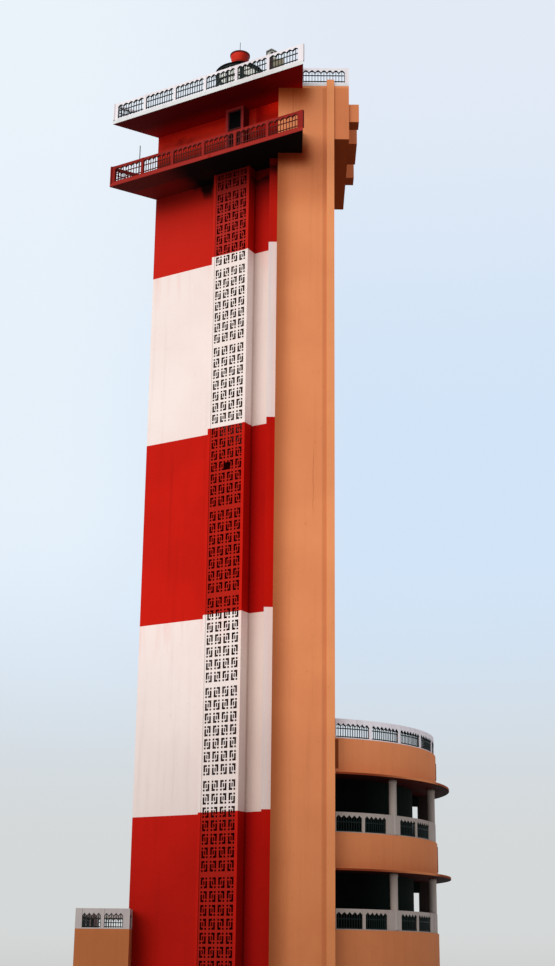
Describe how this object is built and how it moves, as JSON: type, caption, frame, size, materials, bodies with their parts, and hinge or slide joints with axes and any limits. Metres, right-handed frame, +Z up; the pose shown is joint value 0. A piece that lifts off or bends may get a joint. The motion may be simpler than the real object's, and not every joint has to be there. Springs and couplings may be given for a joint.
{
  "type": "lighthouse, 1:2 scale model",
  "caption": "Three-cornered banded lighthouse tower with a lift shaft, pierced stair bay, two galleries, a glazed lantern, a round verandah annex and a low wing.",
  "frame": {"origin": "on the ground under the middle of the tower's triangle, on the underside of its ground floor", "axes": "+Z up, -X towards the tower's sharp left corner, -Y towards the front with the stair bay, +X towards the lift shaft and the round annex"},
  "size_m": [8.6698, 8.715, 25.5],
  "materials": {
    "red_wall": "painted render, matt",
    "white_wall": "painted render, matt",
    "orange_wall": "painted render, matt",
    "pale_concrete": "painted concrete, matt",
    "white_railing": "painted concrete, matt",
    "inner_wall": "painted render in shade",
    "lantern_iron": "dark green gloss paint",
    "lantern_red": "red gloss paint",
    "lantern_glass": "clear glazing"
  },
  "bodies": {
    "root": {"tower_wall_band_1": "red_wall", "tower_wall_band_2": "white_wall", "tower_wall_band_3": "red_wall", "tower_wall_band_4": "white_wall", "tower_wall_band_5": "red_wall", "stair_bay_band_1": "red_wall", "stair_bay_band_2": "white_wall", "stair_bay_band_3": "red_wall", "stair_bay_band_4": "white_wall", "stair_bay_band_5": "red_wall", "stair_screen_band_1": "red_wall", "stair_screen_band_2": "white_wall", "stair_screen_band_3": "red_wall", "stair_screen_band_4": "white_wall", "stair_screen_band_5": "red_wall", "gallery_door_surround": "red_wall", "tower_ground_floor": "pale_concrete", "shaft_front_wall": "orange_wall", "shaft_back_wall": "orange_wall", "shaft_left_wall": "orange_wall", "shaft_right_wall": "orange_wall", "shaft_fin": "orange_wall", "head_walls": "orange_wall", "head_box_1": "orange_wall", "head_box_2": "orange_wall", "head_box_3": "orange_wall", "lower_gallery_floor": "red_wall", "lower_gallery_railing": "red_wall", "roof_slab": "white_wall", "roof_gallery_railing": "white_railing", "roof_back_railing": "white_railing", "lantern_base": "white_wall", "lantern_frame": "lantern_iron", "lantern_glass": "lantern_glass", "lantern_dome": "lantern_iron", "lantern_cowl": "lantern_red", "roof_cabinet": "white_wall", "annex_ground_wall": "orange_wall", "annex_end_wall": "orange_wall", "annex_floor_1": "pale_concrete", "annex_floor_2": "pale_concrete", "annex_terrace_floor": "pale_concrete", "annex_fascia_1": "orange_wall", "annex_fascia_2": "orange_wall", "annex_inner_wall_1": "inner_wall", "annex_inner_wall_2": "inner_wall", "annex_colonnade_1": "pale_concrete", "annex_colonnade_2": "pale_concrete", "annex_terrace_railing": "white_railing", "wing_walls": "orange_wall", "wing_roof": "pale_concrete", "wing_railing": "white_railing"}
  },
  "joints": []
}
